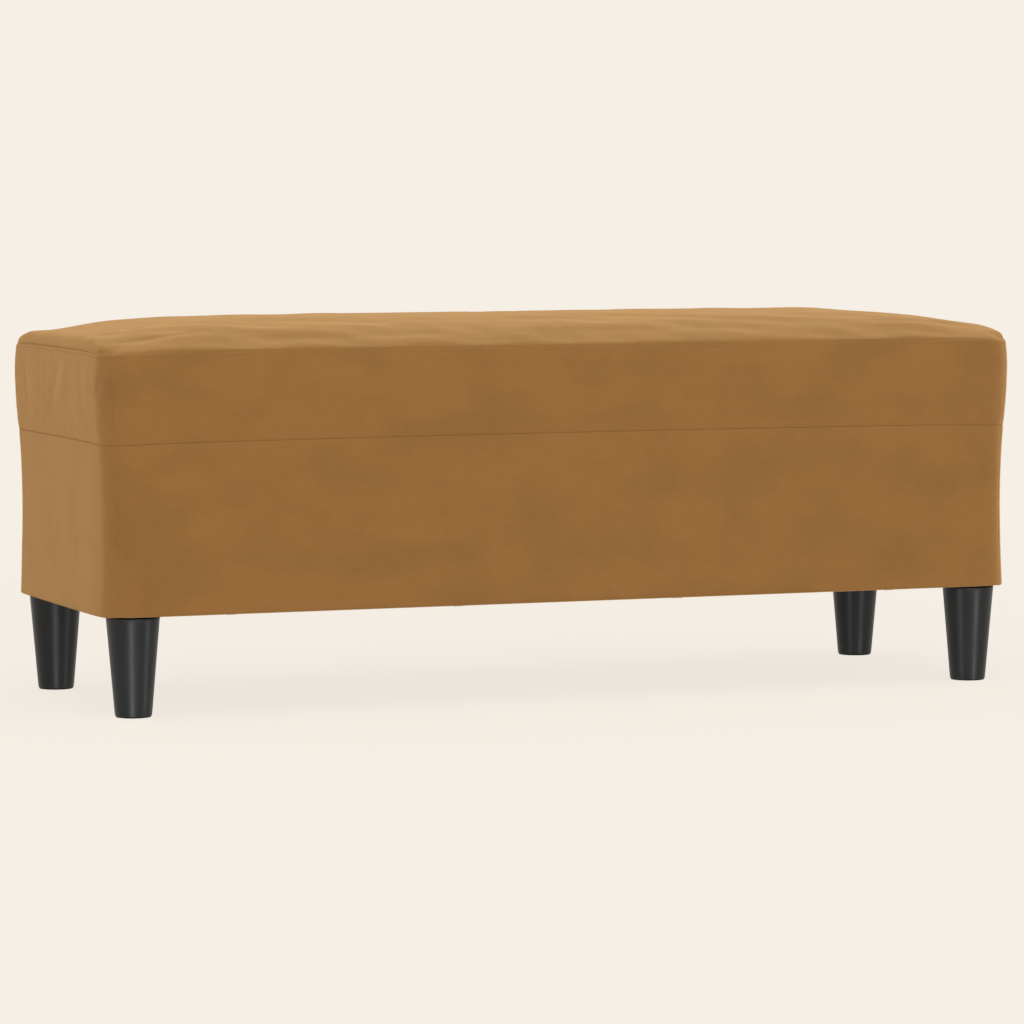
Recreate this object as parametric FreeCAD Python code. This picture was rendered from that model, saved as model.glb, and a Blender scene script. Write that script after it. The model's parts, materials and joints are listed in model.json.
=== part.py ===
import FreeCAD
import Part
import math
import os

from FreeCAD import Vector

os.makedirs("parts", exist_ok=True)

# Driving sizes in millimetres. X runs along the bench, the front faces -Y, Z is up from the floor
overall_length = 998.0
overall_depth = 348.0
widest_corner_radius = 32.0
least_corner_radius = 26.0

# Levels of the cover, and how far each lies inside the widest line of the bench
hem_z = 100.0
hem_inset = 5.0
low_seam_z = 270.0
low_seam_inset = 4.5
top_seam_z = 359.0
top_seam_inset = 2.5
skirt_draw_in = 3.3
band_swell = 2.0

# Crown above the top seam: inset at the long sides, inset at the ends and rise, from the seam to the flat middle
crown_steps = [(2.5, 2.5, 0.0), (6.0, 4.5, 3.2), (43.0, 22.0, 14.0), (93.0, 81.0, 24.0), (143.0, 250.0, 29.2)]

# Cover cloth
cloth = 1.2
cloth_gap = 0.3
corner_seam_angle = 40.0
turn_under_width = 24.0

# Timber
frame_inset = 19.0
frame_bottom_z = 101.4
panel_thickness = 9.0
deck_thickness = 12.0
block_length = 50.0
block_depth = 46.0
brace_width = 20.0
brace_height = 40.0
brace_x = 160.0
vent_radius = 12.0
vent_positions = (-240.0, 240.0)

# Upholstery filling
foam_top_z = 352.0
wadding_bottom_z = 352.4
filling_gap = 0.4

# Dust cover
dust_thickness = 0.6
dust_top_z = 99.8
dust_inset = 14.0
dust_stud_slit = 10.0

# Legs
leg_x = 458.2
leg_y = 138.5
leg_top_z = 99.0
leg_bottom_z = 2.8
leg_top_radius = 26.7
leg_bottom_radius = 18.5
leg_wall = 3.0
leg_floor = 5.0
leg_edge_bevel = 0.8
boss_radius = 8.0
rib_count = 6
rib_angle = 9.0
glide_radius = 17.4
glide_height = 2.8

# Leg fastening
stud_radius = 3.9
stud_bottom_z = 56.0
stud_top_z = 119.0
insert_bore = 4.0
insert_radius = 6.0
insert_length = 20.0

# Staples
staple_wire = 0.8
staple_width = 10.0
staple_leg = 9.0
long_side_staples = 4
long_side_staple_step = 240.0
end_staples = 2
end_staple_step = 110.0

# Values that follow from the ones above
frame_half_x = overall_length / 2 - frame_inset
frame_half_y = overall_depth / 2 - frame_inset
inner_half_x = frame_half_x - panel_thickness
inner_half_y = frame_half_y - panel_thickness
deck_bottom_z = low_seam_z - deck_thickness
corner_x = overall_length / 2 - widest_corner_radius
corner_y = overall_depth / 2 - widest_corner_radius
side_runs = {
    "right": (0, (corner_x, -corner_y), (corner_x, corner_y), 90 - corner_seam_angle),
    "back": (90, (corner_x, corner_y), (-corner_x, corner_y), corner_seam_angle),
    "left": (180, (-corner_x, corner_y), (-corner_x, -corner_y), 90 - corner_seam_angle),
    "front": (270, (-corner_x, -corner_y), (corner_x, -corner_y), corner_seam_angle),
}
leg_places = {
    "front_left": (-leg_x, -leg_y),
    "front_right": (leg_x, -leg_y),
    "back_left": (-leg_x, leg_y),
    "back_right": (leg_x, leg_y),
}
sides = (-1, 1)
up = Vector(0, 0, 1)


def save(name, shape):
    """Write one node."""
    shape.exportStep(os.path.join("parts", name + ".step"))


def block_between(x0, x1, y0, y1, z0, z1):
    """A square block given by its limits."""
    return Part.makeBox(x1 - x0, y1 - y0, z1 - z0, Vector(x0, y0, z0))


def soft_outline(inset, end_inset, z):
    """Closed rounded rectangle, drawn in from the widest line of the bench at the sides and the ends."""
    half_x = overall_length / 2 - end_inset
    half_y = overall_depth / 2 - inset
    radius = max(widest_corner_radius - inset, least_corner_radius)
    diagonal = radius * math.sqrt(0.5)
    edges = []
    corners = [(1, -1), (1, 1), (-1, 1), (-1, -1)]
    for index, (sx, sy) in enumerate(corners):
        centre = Vector(sx * (half_x - radius), sy * (half_y - radius), z)
        on_y = centre + Vector(0, sy * radius, 0)
        on_x = centre + Vector(sx * radius, 0, 0)
        middle = centre + Vector(sx * diagonal, sy * diagonal, 0)
        first, last = (on_y, on_x) if index % 2 == 0 else (on_x, on_y)
        if edges:
            edges.append(Part.makeLine(previous, first))
        else:
            start = first
        edges.append(Part.Arc(first, middle, last).toShape())
        previous = last
    edges.append(Part.makeLine(previous, start))
    return Part.Wire(edges)


def soft_body(levels):
    """Solid through outlines given as side inset, end inset and height."""
    outlines = [soft_outline(inset, end_inset, z) for inset, end_inset, z in levels]
    return Part.makeLoft(outlines, True, True)


def crown_levels(depth_in):
    """Crown above the top seam, a given distance under its outer face."""
    levels = []
    for inset, end_inset, rise in crown_steps:
        drop = depth_in if rise > 0 else 0.0
        draw = depth_in if rise == 0 else depth_in / 2
        levels.append((inset + draw, end_inset + draw, top_seam_z + cloth_gap / 2 + rise - drop))
    return levels


def top_cover():
    """Crowned top panel of the cover."""
    return soft_body(crown_levels(0)).cut(soft_body(crown_levels(cloth)))


def profile_point(inset, z):
    """Point of a side profile: X is the distance out from the corner's centre line."""
    return Vector(widest_corner_radius - inset, 0, z)


def bowed_edge(low_inset, low_z, high_inset, high_z, draw_in):
    """Arc of a side profile, drawn in by a distance halfway up."""
    middle = profile_point((low_inset + high_inset) / 2 + draw_in, (low_z + high_z) / 2)
    return Part.Arc(profile_point(low_inset, low_z), middle, profile_point(high_inset, high_z)).toShape()


def closed_face(edges):
    """Face from arcs and lines given in order, with straight lines over the gaps."""
    complete = []
    for index, edge in enumerate(edges):
        complete.append(edge)
        end = edge.lastVertex().Point
        start = edges[(index + 1) % len(edges)].firstVertex().Point
        complete.append(Part.makeLine(end, start))
    return Part.Face(Part.Wire(complete))


def band_profile():
    """Section of the boxing band's cloth."""
    low_z = low_seam_z + cloth_gap / 2
    high_z = top_seam_z - cloth_gap / 2
    outside = bowed_edge(low_seam_inset, low_z, top_seam_inset, high_z, -band_swell)
    inside = bowed_edge(top_seam_inset + cloth, high_z, low_seam_inset + cloth, low_z, -band_swell)
    return closed_face([outside, inside])


def skirt_profile():
    """Section of the skirt's cloth, with its hem turned under the frame."""
    high_z = low_seam_z - cloth_gap / 2
    turned_z = hem_z + cloth
    turned_inset = hem_inset + turn_under_width
    outside = bowed_edge(hem_inset, hem_z, low_seam_inset, high_z, skirt_draw_in)
    inside = bowed_edge(low_seam_inset + cloth, high_z, hem_inset + cloth, turned_z, skirt_draw_in)
    turned_edge = Part.makeLine(profile_point(turned_inset, turned_z), profile_point(turned_inset, hem_z))
    return closed_face([outside, inside, turned_edge])


def padding_profile():
    """Section of a side pad, from the box to just inside the skirt."""
    clear = cloth + filling_gap
    low_z = frame_bottom_z + filling_gap
    high_z = low_seam_z - filling_gap
    back = frame_inset - filling_gap
    outside = bowed_edge(hem_inset + clear, low_z, low_seam_inset + clear, high_z, skirt_draw_in)
    inside = Part.makeLine(profile_point(back, high_z), profile_point(back, low_z))
    return closed_face([outside, inside])


def placed(shape, angle, corner):
    """A piece turned to face a side and set on a corner's centre line."""
    shape.rotate(Vector(0, 0, 0), up, angle)
    shape.translate(Vector(corner[0], corner[1], 0))
    return shape


def straight_run(profile, side):
    """A profile drawn along one side between the corner centres."""
    outward, start, end, _ = side_runs[side]
    length = math.dist(start, end)
    return placed(profile.extrude(Vector(0, length, 0)), outward, start)


def swept_panel(profile, side):
    """A profile drawn along one side and round into both corners, up to the corner seams."""
    outward, start, end, turn = side_runs[side]
    turn -= math.degrees(cloth_gap / 2 / widest_corner_radius)
    before = placed(profile.revolve(Vector(0, 0, 0), up, turn), outward - turn, start)
    after = placed(profile.revolve(Vector(0, 0, 0), up, turn), outward, end)
    return straight_run(profile, side).fuse([before, after]).removeSplitter()


def even_row(count, step):
    """Evenly spaced places on both sides of zero."""
    return [(index - (count - 1) / 2) * step for index in range(count)]


def staple_places():
    """Middle of each staple on the underside and whether it lies along X."""
    places = []
    edge_x = frame_half_x - panel_thickness / 2
    edge_y = frame_half_y - panel_thickness / 2
    for side in sides:
        for x in even_row(long_side_staples, long_side_staple_step):
            places.append((x, side * edge_y, True))
        for y in even_row(end_staples, end_staple_step):
            places.append((side * edge_x, y, False))
    return places


def staple(x, y, along_x):
    """One wire staple driven up through dust cover and cloth into a panel edge."""
    low = dust_top_z - dust_thickness - staple_wire
    half = staple_width / 2
    wire = staple_wire / 2
    top = low + staple_wire + staple_leg
    crown = block_between(-half, half, -wire, wire, low, low + staple_wire)
    left_leg = block_between(-half, -half + staple_wire, -wire, wire, low, top)
    right_leg = block_between(half - staple_wire, half, -wire, wire, low, top)
    shape = crown.fuse([left_leg, right_leg]).removeSplitter()
    if not along_x:
        shape.rotate(Vector(0, 0, 0), up, 90)
    shape.translate(Vector(x, y, 0))
    return shape


def all_staples():
    """Every staple of the underside."""
    return Part.makeCompound([staple(x, y, along_x) for x, y, along_x in staple_places()])


def leg_axis_cylinder(radius, z0, z1, x, y):
    """Upright cylinder on a leg's axis."""
    return Part.makeCylinder(radius, z1 - z0, Vector(x, y, z0))


def insert_nut(x, y):
    """Threaded insert set into a corner block from below."""
    top = frame_bottom_z + insert_length
    body = leg_axis_cylinder(insert_radius, frame_bottom_z, top, x, y)
    return body.cut(leg_axis_cylinder(insert_bore, frame_bottom_z, top, x, y))


def leg_radius(z):
    """Outer radius of the leg's cone at a height."""
    share = (z - leg_bottom_z) / (leg_top_z - leg_bottom_z)
    return leg_bottom_radius + (leg_top_radius - leg_bottom_radius) * share


def turned(points):
    """Solid turned about Z from points given as pairs of radius and height."""
    corners = [Vector(radius, 0, z) for radius, z in points]
    face = Part.Face(Part.makePolygon(corners + corners[:1]))
    return face.revolve(Vector(0, 0, 0), up, 360)


def leg_outside():
    """Solid cone of the leg with a bevelled bottom edge."""
    bevel_z = leg_bottom_z + leg_edge_bevel
    return turned([
        (0, leg_bottom_z),
        (leg_bottom_radius - leg_edge_bevel, leg_bottom_z),
        (leg_radius(bevel_z), bevel_z),
        (leg_top_radius, leg_top_z),
        (0, leg_top_z),
    ])


def pocket_corners(z, wall_radius):
    """Corners of the room between two ribs at a height."""
    half = math.radians(180.0 / rib_count - rib_angle / 2)
    places = [
        (boss_radius, -half),
        (wall_radius, -half),
        (wall_radius, 0),
        (wall_radius, half),
        (boss_radius, half),
    ]
    return [Vector(radius * math.cos(angle), radius * math.sin(angle), z) for radius, angle in places]


def flat_sided(low, high):
    """Solid with flat sides between two outlines with the same number of corners."""
    faces = [Part.Face(Part.makePolygon(corners + corners[:1])) for corners in (low, high)]
    for index in range(len(low)):
        after = (index + 1) % len(low)
        corners = [low[index], low[after], high[after], high[index]]
        faces.append(Part.Face(Part.makePolygon(corners + corners[:1])))
    return Part.Solid(Part.Shell(faces))


def leg_pockets():
    """Rooms between the ribs, from the boss to the wall, open at the top."""
    floor_z = leg_bottom_z + leg_floor
    low = pocket_corners(floor_z, leg_radius(floor_z) - leg_wall)
    high = pocket_corners(leg_top_z, leg_top_radius - leg_wall)
    pockets = []
    for index in range(rib_count):
        pocket = flat_sided(low, high)
        pocket.rotate(Vector(0, 0, 0), up, index * 360.0 / rib_count)
        pockets.append(pocket)
    return pockets


def leg():
    """Moulded leg on the origin: tapered wall, ribs and a boss for the stud."""
    bore = leg_axis_cylinder(stud_radius, stud_bottom_z, leg_top_z, 0, 0)
    return leg_outside().cut(leg_pockets() + [bore])


def glide(x, y):
    """Round pad glued under a leg, which stands on the floor."""
    return leg_axis_cylinder(glide_radius, 0, glide_height, x, y)


def plywood_panels(staples):
    """Four sides of the box, with the places of the staples cut out."""
    top = deck_bottom_z
    bottom = frame_bottom_z
    panels = {}
    for name, side in (("front_panel", -1), ("back_panel", 1)):
        y0, y1 = sorted((side * inner_half_y, side * frame_half_y))
        panels[name] = block_between(-frame_half_x, frame_half_x, y0, y1, bottom, top)
    for name, side in (("left_end_panel", -1), ("right_end_panel", 1)):
        x0, x1 = sorted((side * inner_half_x, side * frame_half_x))
        panels[name] = block_between(x0, x1, -inner_half_y, inner_half_y, bottom, top)
    return {name: shape.cut(staples) for name, shape in panels.items()}


def corner_block(sx, sy):
    """Block in one corner of the box, bored from below for the insert."""
    x0, x1 = sorted((sx * inner_half_x, sx * (inner_half_x - block_length)))
    y0, y1 = sorted((sy * inner_half_y, sy * (inner_half_y - block_depth)))
    shape = block_between(x0, x1, y0, y1, frame_bottom_z, deck_bottom_z)
    top = frame_bottom_z + insert_length
    return shape.cut(leg_axis_cylinder(insert_radius, frame_bottom_z, top, sx * leg_x, sy * leg_y))


def cross_brace(side):
    """Rail across the box under the deck."""
    middle = side * brace_x
    half = brace_width / 2
    bottom = deck_bottom_z - brace_height
    return block_between(middle - half, middle + half, -inner_half_y, inner_half_y, bottom, deck_bottom_z)


def seat_deck():
    """Plywood seat with vent holes."""
    shape = block_between(
        -frame_half_x, frame_half_x, -frame_half_y, frame_half_y, deck_bottom_z, low_seam_z
    )
    for x in vent_positions:
        shape = shape.cut(Part.makeCylinder(vent_radius, deck_thickness, Vector(x, 0, deck_bottom_z)))
    return shape


def seat_foam():
    """Foam block that fills the boxing band."""
    clear = cloth + filling_gap
    low_z = low_seam_z + filling_gap
    middle_z = (low_seam_z + top_seam_z) / 2
    low = low_seam_inset + clear
    swollen = (low_seam_inset + top_seam_inset) / 2 - band_swell + clear
    high = top_seam_inset + clear
    return soft_body([(low, low, low_z), (swollen, swollen, middle_z), (high, high, foam_top_z)])


def seat_wadding():
    """Wadding on the foam that gives the crown."""
    clear = cloth + filling_gap
    crown = soft_body(crown_levels(clear))
    base_inset, base_end_inset, base_z = crown_levels(clear)[0]
    below = soft_body([(base_inset, base_end_inset, wadding_bottom_z), (base_inset, base_end_inset, base_z)])
    return crown.fuse(below)


def dust_cover(staples):
    """Thin sheet under the frame, with holes for the leg studs."""
    face = Part.Face(soft_outline(dust_inset, dust_inset, dust_top_z - dust_thickness))
    sheet = face.extrude(up * dust_thickness)
    for x, y in leg_places.values():
        half = dust_stud_slit / 2
        low = dust_top_z - dust_thickness
        sheet = sheet.cut(block_between(x - half, x + half, y - half, y + half, low, dust_top_z))
    return sheet.cut(staples)


def build():
    """Make every node and write it."""
    staples = all_staples()
    for name, shape in plywood_panels(staples).items():
        save(name, shape)
    for name, (x, y) in leg_places.items():
        sx = math.copysign(1, x)
        sy = math.copysign(1, y)
        save("corner_block_" + name, corner_block(sx, sy))
    for name, side in (("left", -1), ("right", 1)):
        save("cross_brace_" + name, cross_brace(side))
    save("seat_deck", seat_deck())
    save("seat_foam", seat_foam())
    save("seat_wadding", seat_wadding())
    save("cover_top", top_cover())
    for side in side_runs:
        save("cover_band_" + side, swept_panel(band_profile(), side))
        save("cover_skirt_" + side, swept_panel(skirt_profile(), side).cut(staples))
        save(side + "_padding", straight_run(padding_profile(), side))
    save("dust_cover", dust_cover(staples))
    save("legs", Part.makeCompound([placed(leg(), 0, place) for place in leg_places.values()]))
    studs = [leg_axis_cylinder(stud_radius, stud_bottom_z, stud_top_z, x, y) for x, y in leg_places.values()]
    save("leg_studs", Part.makeCompound(studs))
    save("glides", Part.makeCompound([glide(x, y) for x, y in leg_places.values()]))
    save("insert_nuts", Part.makeCompound([insert_nut(x, y) for x, y in leg_places.values()]))
    save("staples", staples)


build()
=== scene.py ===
import json
import math

import bpy
import numpy as np
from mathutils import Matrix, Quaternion, Vector


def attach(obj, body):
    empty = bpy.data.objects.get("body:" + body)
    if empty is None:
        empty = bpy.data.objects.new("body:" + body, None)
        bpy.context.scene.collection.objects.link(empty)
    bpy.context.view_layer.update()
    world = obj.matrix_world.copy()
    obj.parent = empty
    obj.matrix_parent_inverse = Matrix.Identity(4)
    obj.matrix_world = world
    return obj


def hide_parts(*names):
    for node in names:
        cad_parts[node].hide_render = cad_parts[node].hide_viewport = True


# Sizes in millimetres, in the frame of the CAD model
METRE = 0.001
HALF_LENGTH = 499.0
HALF_DEPTH = 174.0
CORNER_RADIUS = 32.0
HEM_Z = 100.0
HEM_INSET = 5.0
LOW_SEAM_Z = 270.0
LOW_SEAM_INSET = 4.5
TOP_SEAM_Z = 359.0
TOP_SEAM_INSET = 2.5
SKIRT_DRAW_IN = 2.6
BAND_SWELL = 2.6
SWELL_SKEW = 1.12
END_EASE = 1.8
END_EASE_START = 200.0
HEM_TILT = 0.8
HEM_FOLD_RADIUS = 2.6
HEM_FOLD_STEPS = 6
TURN_UNDER_WIDTH = 24.0
CLOTH = 1.2
CORNER_SEAM_ANGLE = 40.0
CORNER_EASE = 4.5
CORNER_EASE_WIDTH = {"front": 20.0, "left": 28.0}

# Crown of the top
CROWN_RISE = 29.0
CROWN_END_REACH = 86.0
CROWN_END_POWER = 1.5
CROWN_END_RIM = 0.46
CROWN_END_RIM_REACH = 2.0
CROWN_SIDE_RIM = 0.1
CROWN_SIDE_RIM_REACH = 2.5
CROWN_SIDE_POWER = 2.6
CROWN_BLEND = 2.5

# Waves in the cloth
TOP_WAVE = 1.3
TOP_WAVE_SIZE = 64.0
TOP_WAVE_STRETCH = 0.5
TOP_WAVE_SEED = 11
TOP_CALM_RISE = 5.0
RIDGE_WAVE_SHARE = 0.25
RIDGE_REACH = 90.0
BAND_WAVE = 0.35
BAND_WAVE_SIZE = 60.0
BAND_WAVE_SEED = 5
BAND_CALM = 14.0
SKIRT_WAVE = 0.3
SKIRT_WAVE_SIZE = 90.0
SKIRT_WAVE_SEED = 8
SKIRT_CALM = 20.0

# Seams
TOP_SEAM_DEPTH = 0.6
TOP_SEAM_LIFT = 1.1
TOP_SEAM_DROOP = 2.3
TOP_SEAM_DROOP_REACH = 40.0
TOP_PUCKER_SEED = 21
LOW_SEAM_DEPTH = 0.55
LOW_SEAM_LIFT = 0.4
LOW_SEAM_BOW = 1.9
LOW_SEAM_DROOP = 1.2
LOW_SEAM_DROOP_REACH = 55.0
LOW_PUCKER_SEED = 33
CORNER_SEAM_DEPTH = 0.3
SEAM_CORNER_INSET = 12.0
SEAM_WIDTH = 1.2
SEAM_ALLOWANCE = 7.0
SEAM_GAP = 0.1
PUCKER_SHARE = 0.28
PUCKER_SIZE = 17.0
STITCH_LINE = 3.2
STITCH_PITCH = 3.6
STITCH_LENGTH = 2.7
STITCH_RADIUS = 0.24
STITCH_SEGMENTS = 6
STITCH_SINK = 0.04
STITCH_DIVE = 0.3
STITCH_DIP = 0.10
STITCH_DIP_WIDTH = 0.7

# Steps between points
FINE_STEPS = np.array([0.0, 0.5, 1.0, 1.6, 2.3, 3.1, 4.0, 4.8, 5.7, 7.0, 8.6, 10.5])
SEAT_STEP = 3.2
BAND_ROW_STEP = 3.0
SKIRT_STEP = 4.0
FOAM_STEP = 12.0
WADDING_STEP = 9.0

# Pieces inside
FOAM_TOP_Z = 352.0
FOAM_GAP = 1.8
FOAM_EDGE = 3.0
FOAM_EDGE_REACH = 6.0
WADDING_INSET = 11.0
WADDING_GAP = 3.2
PAD_GAP = 1.0
PAD_EDGE = 1.2
PAD_INNER_INSET = 18.6
DUST_INSET = 14.0
DUST_Z = 99.75
DUST_CLOTH = 0.45
DUST_SAG = 0.9
DUST_RIPPLE = 0.8
DUST_SLIT_RADIUS = 7.5

# Legs
LEG_X = 458.2
LEG_Y = 138.5
LEG_TOP_Z = 99.0
LEG_BOTTOM_Z = 2.8
LEG_TOP_RADIUS = 26.7
LEG_BOTTOM_RADIUS = 18.5
LEG_SEGMENTS = 96
LEG_RIM_Z = 1.0
LEG_RIM_GAP = 0.15
LEG_FOOT_ROUND = 0.75
LEG_TOP_ROUND = 1.0
LEG_WALL = 3.2
LEG_FLOOR_Z = 7.8
LEG_BOSS_RADIUS = 8.0
FOOT_MIDDLE_RADIUS = 4.0
STUD_RADIUS = 3.9
STUD_BOTTOM_Z = 56.0
GLIDE_RADIUS = 17.4

# Camera, fitted to the photograph
CAMERA_PLACE = (-1.82008, -4.65789, 0.54904)
CAMERA_YAW = -21.308
CAMERA_PITCH = 4.221
CAMERA_ROLL = -0.08
CAMERA_LENS = 168.742
SENSOR_WIDTH = 36.0

# Ground colour of the picture, and its share in the floor by metres from the middle
GROUND_COLOUR = (0.922, 0.863, 0.783)
GROUND_SHARE = {"From Min": 0.7, "From Max": 2.2, "To Min": 0.88, "To Max": 1.0}
FLOOR_HALF_SIZE = 30000.0

STRAIGHT_X = HALF_LENGTH - CORNER_RADIUS
STRAIGHT_Y = HALF_DEPTH - CORNER_RADIUS
HALF_ARC = CORNER_RADIUS * math.pi / 4
LONG_RUN = 2 * (STRAIGHT_X + HALF_ARC)
SHORT_RUN = 2 * (STRAIGHT_Y + HALF_ARC)
SIDES = ("front", "right", "back", "left")
SIDE_RUN = dict(zip(SIDES, (LONG_RUN, SHORT_RUN, LONG_RUN, SHORT_RUN)))
SIDE_START = dict(zip(SIDES, (0.0, LONG_RUN, LONG_RUN + SHORT_RUN, 2 * LONG_RUN + SHORT_RUN)))
WHOLE_RUN = 2 * (LONG_RUN + SHORT_RUN)

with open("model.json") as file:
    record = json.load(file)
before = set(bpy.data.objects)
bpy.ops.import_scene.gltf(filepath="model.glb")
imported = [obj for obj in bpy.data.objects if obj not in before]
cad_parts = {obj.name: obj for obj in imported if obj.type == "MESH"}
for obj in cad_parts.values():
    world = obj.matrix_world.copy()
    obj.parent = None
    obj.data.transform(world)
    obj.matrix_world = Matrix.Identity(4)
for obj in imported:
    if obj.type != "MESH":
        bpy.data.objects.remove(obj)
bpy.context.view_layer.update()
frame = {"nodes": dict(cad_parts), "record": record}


def smooth_noise(points, size, seed, octaves=3):
    """Seeded smooth noise of about -1 to 1 from sums of turned sine waves."""
    source = np.random.default_rng(seed)
    total = np.zeros(np.shape(points[0]))
    weight_sum = 0.0
    for octave in range(octaves):
        for wave in range(5):
            direction = source.normal(size=len(points))
            direction /= np.linalg.norm(direction)
            phase = source.uniform(0, 2 * math.pi)
            scale = 2 * math.pi / (size / 2**octave) * source.uniform(0.7, 1.3)
            weight = 0.55**octave
            total += weight * np.sin(scale * sum(d * p for d, p in zip(direction, points)) + phase)
            weight_sum += weight
    return total / (0.45 * weight_sum)


def side_frame(side, run):
    """Corner-centre line points and outward directions at runs along one side."""
    length = SIDE_RUN[side]
    half = length / 2 - HALF_ARC
    along = np.clip(run - length / 2, -half, half)
    angle = (run - length / 2 - along) / CORNER_RADIUS
    back = STRAIGHT_Y if side in ("front", "back") else STRAIGHT_X
    turn = SIDES.index(side) * math.pi / 2
    out_x, out_y = np.sin(angle), -np.cos(angle)
    place_x, place_y = along, np.full_like(along, -back)
    cos, sin = round(math.cos(turn)), round(math.sin(turn))
    return (
        cos * place_x - sin * place_y,
        sin * place_x + cos * place_y,
        cos * out_x - sin * out_y,
        sin * out_x + cos * out_y,
    )


def corner_nearness(x, y, reach):
    """One at the bench's upright corners, falling towards zero beyond a reach."""
    beside_x = np.abs(x) - (HALF_LENGTH - SEAM_CORNER_INSET)
    beside_y = np.abs(y) - (HALF_DEPTH - SEAM_CORNER_INSET)
    return np.exp(-((np.hypot(beside_x, beside_y) / reach) ** 2))


def top_seam_height(x, y):
    """Height of the top seam, which droops at the corners."""
    droop = TOP_SEAM_DROOP * corner_nearness(x, y, TOP_SEAM_DROOP_REACH)
    return TOP_SEAM_Z + TOP_SEAM_LIFT - droop


def low_seam_height(x, y):
    """Height of the low seam, which is highest in the middle of the long sides."""
    bow = LOW_SEAM_BOW * (1 - (x / HALF_LENGTH) ** 2)
    droop = LOW_SEAM_DROOP * corner_nearness(x, y, LOW_SEAM_DROOP_REACH)
    return LOW_SEAM_Z + LOW_SEAM_LIFT + bow - droop


def seam_dip(distance, run, depth, seed):
    """How deep the cloth is drawn in near a seam, with small puckers along it."""
    pucker = 1.0 + PUCKER_SHARE * smooth_noise([run], PUCKER_SIZE, seed, 2)
    return depth * pucker * np.exp(-((distance / SEAM_WIDTH) ** 2))


def stitch_dip(distance):
    """Shallow groove of a row of topstitching."""
    return STITCH_DIP * np.exp(-(((distance - STITCH_LINE) / STITCH_DIP_WIDTH) ** 2))


def bulge(height_share):
    """Zero at both edges of a wall panel, and one a little above its middle."""
    share = height_share**SWELL_SKEW
    return 4 * share * (1 - share)


def band_inset(height_share):
    """Inset of the swollen boxing band from its low to its high seam."""
    straight = LOW_SEAM_INSET + (TOP_SEAM_INSET - LOW_SEAM_INSET) * height_share
    return straight - BAND_SWELL * bulge(height_share)


def skirt_inset(height_share):
    """Inset of the drawn-in skirt from the hem to its high seam."""
    straight = HEM_INSET + (LOW_SEAM_INSET - HEM_INSET) * height_share
    return straight + SKIRT_DRAW_IN * bulge(height_share)


def ease_ends(points):
    """Points with the bench's ends drawn in towards the corners, slightly bowed in plan."""
    x, y = points[..., 0], points[..., 1]
    near_end = np.clip((np.abs(x) - END_EASE_START) / (HALF_LENGTH - END_EASE_START), 0, 1) ** 2
    draw = END_EASE * near_end * np.abs(y / HALF_DEPTH) ** 4
    eased = np.array(points, dtype=float)
    eased[..., 0] = x - np.sign(x) * draw
    return eased


def spread(length, step, fine_start=True):
    """Positions from 0 to a length, closer together near its end and, if asked, near its start."""
    first = FINE_STEPS if fine_start else FINE_STEPS[:1]
    last = length - FINE_STEPS[::-1]
    count = max(2, int(round((last[0] - first[-1]) / step)))
    middle = np.linspace(first[-1], last[0], count + 1)[1:-1]
    return np.concatenate([first, middle, last])


def crown(x, y):
    """Rise of the top panel above its seam."""
    seam_x = HALF_LENGTH - TOP_SEAM_INSET
    seam_y = HALF_DEPTH - TOP_SEAM_INSET
    radius = CORNER_RADIUS - TOP_SEAM_INSET
    from_end = np.maximum(seam_x - np.abs(x), 0)
    from_side = np.maximum(seam_y - np.abs(y), 0)
    corner_x = np.abs(x) - STRAIGHT_X
    corner_y = np.abs(y) - STRAIGHT_Y
    rounded = np.maximum(radius - np.hypot(corner_x, corner_y), 0)
    least = np.maximum(np.minimum(from_end, from_side), 1e-6)
    share = np.where((corner_x > 0) & (corner_y > 0), np.minimum(rounded / least, 1), 1.0)
    end_rim = 1 - np.exp(-from_end * share / CROWN_END_RIM_REACH)
    end_dome = 1 - np.exp(-((from_end * share / CROWN_END_REACH) ** CROWN_END_POWER))
    end_rise = CROWN_END_RIM * end_rim + (1 - CROWN_END_RIM) * end_dome
    side_rim = 1 - np.exp(-from_side * share / CROWN_SIDE_RIM_REACH)
    side_dome = 1 - (1 - np.minimum(from_side * share / seam_y, 1)) ** CROWN_SIDE_POWER
    side_rise = CROWN_SIDE_RIM * side_rim + (1 - CROWN_SIDE_RIM) * side_dome
    lack = ((1 - end_rise) ** CROWN_BLEND + (1 - side_rise) ** CROWN_BLEND) ** (1 / CROWN_BLEND)
    return CROWN_RISE * np.maximum(1 - lack, 0)


def coons_grid(long_runs, short_runs, inset):
    """Points of a grid that fills the outline at an inset; rows run along the bench."""
    def edge(side, runs):
        place_x, place_y, out_x, out_y = side_frame(side, runs)
        reach = CORNER_RADIUS - inset
        return np.stack([place_x + out_x * reach, place_y + out_y * reach], -1)

    front = edge("front", long_runs)
    back = edge("back", LONG_RUN - long_runs)
    right = edge("right", short_runs)
    left = edge("left", SHORT_RUN - short_runs)
    u = (long_runs / LONG_RUN)[None, :, None]
    v = (short_runs / SHORT_RUN)[:, None, None]
    straight = (1 - v) * front[None] + v * back[None] + (1 - u) * left[:, None] + u * right[:, None]
    corners = (1 - v) * ((1 - u) * front[0] + u * front[-1]) + v * ((1 - u) * back[0] + u * back[-1])
    return straight - corners


def grid_faces(rows, columns, closed=False):
    """Quads of a grid of points stored row by row."""
    last = columns if closed else columns - 1
    faces = []
    for row in range(rows - 1):
        for column in range(last):
            after = (column + 1) % columns
            faces.append((
                row * columns + column,
                row * columns + after,
                (row + 1) * columns + after,
                (row + 1) * columns + column,
            ))
    return faces


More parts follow.
